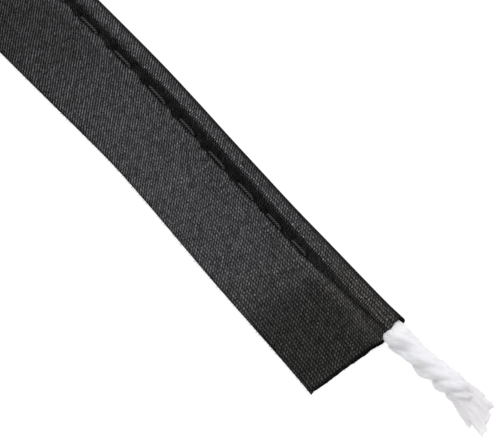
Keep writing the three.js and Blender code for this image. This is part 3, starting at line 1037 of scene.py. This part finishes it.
def sew_seam():
    """The seam: stitches on top in the valley, and on the underside between them."""
    starts, lengths = STITCHES["start"], STITCHES["length"]
    gaps = starts[1:] - starts[:-1] - lengths[:-1]
    middles = np.concatenate([starts + lengths / 2, starts[1:] - gaps / 2])
    spans = np.concatenate([lengths, gaps])
    on_top = np.arange(len(middles)) < len(starts)
    grid = lay_cloth(section, middles)
    upper = section["upper"] > 0.5
    high = section["height"] > UNDER_LAYER_TOP
    valley = np.argmin(np.abs(section["out"] - VALLEY_OUT) + OTHER_LAYER * ~upper)
    below = np.argmin(np.abs(section["out"] - VALLEY_OUT) + OTHER_LAYER * high)
    rise = CLOTH_THICKNESS / 2 + THREAD_PLY * 2 - THREAD_SITS
    points = np.where(on_top[:, None], grid[:, valley], grid[:, below])
    points[:, 2] += np.where(on_top, rise, -rise)
    ahead = between(LIE, "along", middles + TURN_TAKEN_OVER, "cord_at")
    behind = between(LIE, "along", middles - TURN_TAKEN_OVER, "cord_at")
    turns = np.zeros((len(middles), 3))
    turns[:, 0] = np.where(on_top, 0, math.pi)
    turns[:, 2] = np.arctan((ahead - behind) / (2 * TURN_TAKEN_OVER))
    stretch = np.ones((len(middles), 3))
    stretch[:, 0] = spans / STITCH_DRAWN
    carrier = make_piece("seam_points", points, [], [])
    set_attribute(carrier.data, "turn", "FLOAT_VECTOR", turns)
    set_attribute(carrier.data, "stretch", "FLOAT_VECTOR", stretch)
    sizes = {
        "Ply": THREAD_PLY * MM,
        "Twists": THREAD_TWISTS,
        "Length": STITCH_DRAWN * MM,
        "Dive": THREAD_DIVE * MM,
    }
    return grown(carrier, stitch_tree(), sizes, "seam_stitches")


seam = sew_seam()
set_attribute(raw_edges.data, "fuzz", "FLOAT", np.ones(len(raw_edges.data.vertices)))
edge_fibres = grown(
    raw_edges, fibre_tree("cut_yarn_ends", cut_edge), CUT_YARN_ENDS, "cut_yarn_ends"
)


# Filler cord


def tube(centres, wide, thick, sides):
    """Points and faces of a closed tube along centres, flattened to its widths."""
    ahead = unit(np.gradient(centres, axis=0))
    sideways = unit(np.cross(ahead, (0, 0, 1)))
    upward = np.cross(sideways, ahead)
    angle = 2 * math.pi * np.arange(sides) / sides
    ring = (
        centres[:, None]
        + sideways[:, None] * (wide[:, None] * np.cos(angle))[..., None]
        + upward[:, None] * (thick[:, None] * np.sin(angle))[..., None]
    )
    ring[..., 2] = np.maximum(ring[..., 2], LOWEST)
    count = len(centres)
    points = np.concatenate([ring.reshape(-1, 3), centres[[0, -1]]])
    faces = []
    for i in range(count - 1):
        for j in range(sides):
            k = (j + 1) % sides
            faces.append((i * sides + j, i * sides + k, (i + 1) * sides + k, (i + 1) * sides + j))
    last = (count - 1) * sides
    for j in range(sides):
        k = (j + 1) % sides
        faces.append((count * sides, k, j))
        faces.append((count * sides + 1, last + j, last + k))
    return points, faces


def cord_axis(past):
    """The cord's axis at distances past the mouth."""
    along = CLOTH_LENGTH + past
    cord_at = between(LIE, "along", np.minimum(along, CLOTH_LENGTH), "cord_at")
    across = cord_at + between(CORD_RUN, "past", past, "across")
    return np.stack([along, across, between(CORD_RUN, "past", past, "height")], axis=-1)


def lay_angle(past):
    return between(CORD_LAY, "past", past, "thirds") * 2 * math.pi / 3


def outward_at(angle):
    """The direction out from the cord's axis, at an angle from the top towards the flange."""
    return np.stack([0 * angle, -np.sin(angle), np.cos(angle)], axis=-1)


def yarn_tubes():
    """The yarns of the three strands, laid in an S twist."""
    end = CORD_RUN["past"][-1]
    past = np.linspace(CORD_RECESS - CLOTH_LENGTH, end, round(CLOTH_LENGTH / CORD_STEP))
    axis = cord_axis(past)
    radius = between(CORD_RUN, "past", past, "radius")
    crease = between(CORD_RUN, "past", past, "crease")
    lay = lay_angle(past)
    for strand in range(STRANDS):
        turn = 2 * math.pi * strand / STRANDS - lay
        middle = axis + outward_at(turn) * (radius * STRAND_OUT)[:, None]
        for yarn in range(YARNS):
            roll = 2 * math.pi * yarn / YARNS + YARN_ROLL * lay + strand
            centres = middle + outward_at(roll) * (radius * YARN_OUT)[:, None]
            size = radius * lerp(YARN_SIZE + YARN_FULLER, YARN_SIZE, crease)
            size = size * lerp(1, YARN_END, ramp(past, end - YARN_TAPER, end))
            yield tube(centres, size, size, YARN_SIDES)
    aside = outward_at(np.full(len(past), FILL_TURN)) * (radius * FILL_ASIDE)[:, None]
    size = radius * FILL_SIZE * lerp(1, FILL_END, ramp(past, end - 2 * YARN_TAPER, end))
    yield tube(axis + aside, size, size, 2 * YARN_SIDES)


def lock_tubes():
    """The locks of the frayed end, each a few bundles that part towards the tip."""
    dice = np.random.default_rng(LOCK_SEED)
    share = np.linspace(0, 1, LOCK_STEPS)
    for root, off, tip, to, height, wide, thick, taper, hairs in zip(*LOCKS.values()):
        start = cord_axis(np.array([root]))[0]
        base = np.array([start[0], between(LIE, "along", CLOTH_LENGTH, "cord_at") + off, start[2]])
        goal = np.array([CLOTH_LENGTH + tip, LIE["cord_at"][-1] + to, height])
        for hair in range(int(hairs)):
            aside = (hair / max(hairs - 1, 1) - 0.5) * wide * TIP_SPREAD
            shorter = dice.uniform(0, MOST_SHORTER) * (hair > 0)
            strays = dice.normal(0, STRAYS_ASIDE)
            end = goal + (-shorter, aside + strays, dice.normal(0, STRAYS_UP))
            begin = base + (0, aside * ROOT_SPREAD, dice.normal(0, ROOT_STRAYS_UP))
            bow = begin + (end - begin) * (BOW_AHEAD, BOW_ACROSS, 0)
            centres = (
                begin * ((1 - share) ** 2)[:, None]
                + bow * (2 * share * (1 - share))[:, None]
                + end * (share**2)[:, None]
            )
            swell = np.sin(math.pi * (SWELL_FROM + taper * share)) ** SWELL_POWER / 2
            size = dice.uniform(THINNEST_BUNDLE, THICKEST_BUNDLE)
            yield tube(centres, wide * size * swell, thick * size * swell, LOCK_SIDES)


def soften(points, faces):
    """The tubes grown together into one soft mass, as fibres do, in the strip's frame."""
    mesh = bpy.data.meshes.new("yarns")
    mesh.from_pydata(points.tolist(), [], faces)
    work = put_in_scene("yarns", mesh)
    melt = work.modifiers.new("melt", "REMESH")
    melt.mode = "VOXEL"
    melt.voxel_size = SOFTNESS
    calm = work.modifiers.new("calm", "SMOOTH")
    calm.factor, calm.iterations = CALM, CALM_TIMES
    seen = work.evaluated_get(bpy.context.evaluated_depsgraph_get())
    made = bpy.data.meshes.new_from_object(seen)
    bpy.data.objects.remove(work)
    return made


def make_cord():
    points, faces = [], []
    for tube_points, tube_faces in [*yarn_tubes(), *lock_tubes()]:
        first = sum(len(p) for p in points)
        points.append(tube_points)
        faces.extend([tuple(first + i for i in face) for face in tube_faces])
    mesh = soften(np.concatenate(points), faces)
    mesh.name = "twisted_cotton_cord"
    where = np.empty(len(mesh.vertices) * 3)
    mesh.vertices.foreach_get("co", where)
    where = where.reshape(-1, 3)
    past = where[:, 0] - CLOTH_LENGTH
    off = where - cord_axis(past)
    radius = between(CORD_RUN, "past", past, "radius")
    reach = np.hypot(off[:, 1], off[:, 2])
    angle = np.arctan2(-off[:, 1], off[:, 2]) + lay_angle(past)
    laid = np.stack([where[:, 0], reach * np.sin(angle), reach * np.cos(angle)], axis=-1)
    set_attribute(mesh, "laid", "FLOAT_VECTOR", laid)
    # Painted shade: the creases and the frayed end are mixed towards a greyer colour.
    depth = 1 - ramp(reach / radius, *CREASE_RISES)
    depth = lerp(depth, FRAY_DEPTH, ramp(past, *FRAY_STARTS))
    set_attribute(mesh, "depth", "FLOAT", depth)
    fuzz = ramp(past, *FUZZ_STARTS) + MORE_FUZZ * ramp(past, *MORE_FUZZ_STARTS)
    set_attribute(mesh, "fuzz", "FLOAT", fuzz * ramp(where[:, 2], *FUZZ_HEIGHTS))
    mesh.vertices.foreach_set("co", to_metres(where).ravel())
    mesh.polygons.foreach_set("use_smooth", np.ones(len(mesh.polygons), bool))
    mesh.materials.clear()
    mesh.materials.append(cotton)
    return put_in_scene("twisted_cotton_cord", mesh)


cord = make_cord()
carrier = put_in_scene("cord_copy", cord.data.copy())
cord_fibres = grown(
    carrier, fibre_tree("cotton_fibres", cotton), COTTON_FIBRES, "loose_cotton_fibres"
)


# Each piece rides on the part's one body.
for piece, finish in (
    (cover, "black_satin"),
    (seam, "black_satin"),
    (edge_fibres, "black_satin"),
    (cord, "white_cotton"),
    (cord_fibres, "white_cotton"),
):
    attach(piece, "root")
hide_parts("satin_cover")
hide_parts("filler_cord")

# Studio: a white card under a broad soft lamp, with plain light all round. Lengths in metres.
FLOOR_HALF = 10.0
ROUND_LIGHT = 0.37
floor_mesh = bpy.data.meshes.new("floor")
floor_mesh.from_pydata(
    [(x * FLOOR_HALF, y * FLOOR_HALF, 0.0) for x, y in ((-1, -1), (1, -1), (1, 1), (-1, 1))],
    [],
    [(0, 1, 2, 3)],
)
floor_mesh.materials.append(card)
floor = put_in_scene("floor", floor_mesh)
floor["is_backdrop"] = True


def add_sun(name, towards, breadth, strength):
    """A broad lamp far off, in the direction (x, y, z) from the part."""
    lamp = bpy.data.lights.new(name, "SUN")
    lamp.energy, lamp.angle = strength, math.radians(breadth)
    made = put_in_scene(name, lamp)
    made.rotation_euler = Vector(towards).to_track_quat("Z", "Y").to_euler()


add_sun("overhead_softbox", towards=(-0.1, 0.18, 1.0), breadth=80, strength=2.3)
world = bpy.data.worlds.new("studio")
bpy.context.scene.world = world
world.use_nodes = True
world.node_tree.nodes.clear()
air = add(
    world.node_tree,
    "ShaderNodeBackground",
    {"Color": linear("#ffffff"), "Strength": ROUND_LIGHT},
)
add(world.node_tree, "ShaderNodeOutputWorld", {"Surface": air.outputs["Background"]})
bpy.context.scene.view_settings.view_transform = "Standard"

# Camera at the photograph's angle, with the width that the picture takes in at that distance.
AZIMUTH, ELEVATION = math.radians(51), math.radians(60)
DISTANCE = 700
SEEN_WIDTH = 56.2
SENSOR_WIDTH = 36
LOOKS_AT = np.array([51.0, 0.0, 0.0])
back = Vector(
    (
        math.sin(AZIMUTH) * math.cos(ELEVATION),
        -math.cos(AZIMUTH) * math.cos(ELEVATION),
        math.sin(ELEVATION),
    )
)
lens = bpy.data.cameras.new("camera")
lens.sensor_width = SENSOR_WIDTH
lens.lens = SENSOR_WIDTH * DISTANCE / SEEN_WIDTH
camera = put_in_scene("camera", lens)
camera.location = Vector(to_metres(LOOKS_AT)) + back * DISTANCE * MM
camera.rotation_euler = (-back).to_track_quat("-Z", "Y").to_euler()
bpy.context.scene.camera = camera

[[list(corner) for corner in box] for box in (cad_box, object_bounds())]
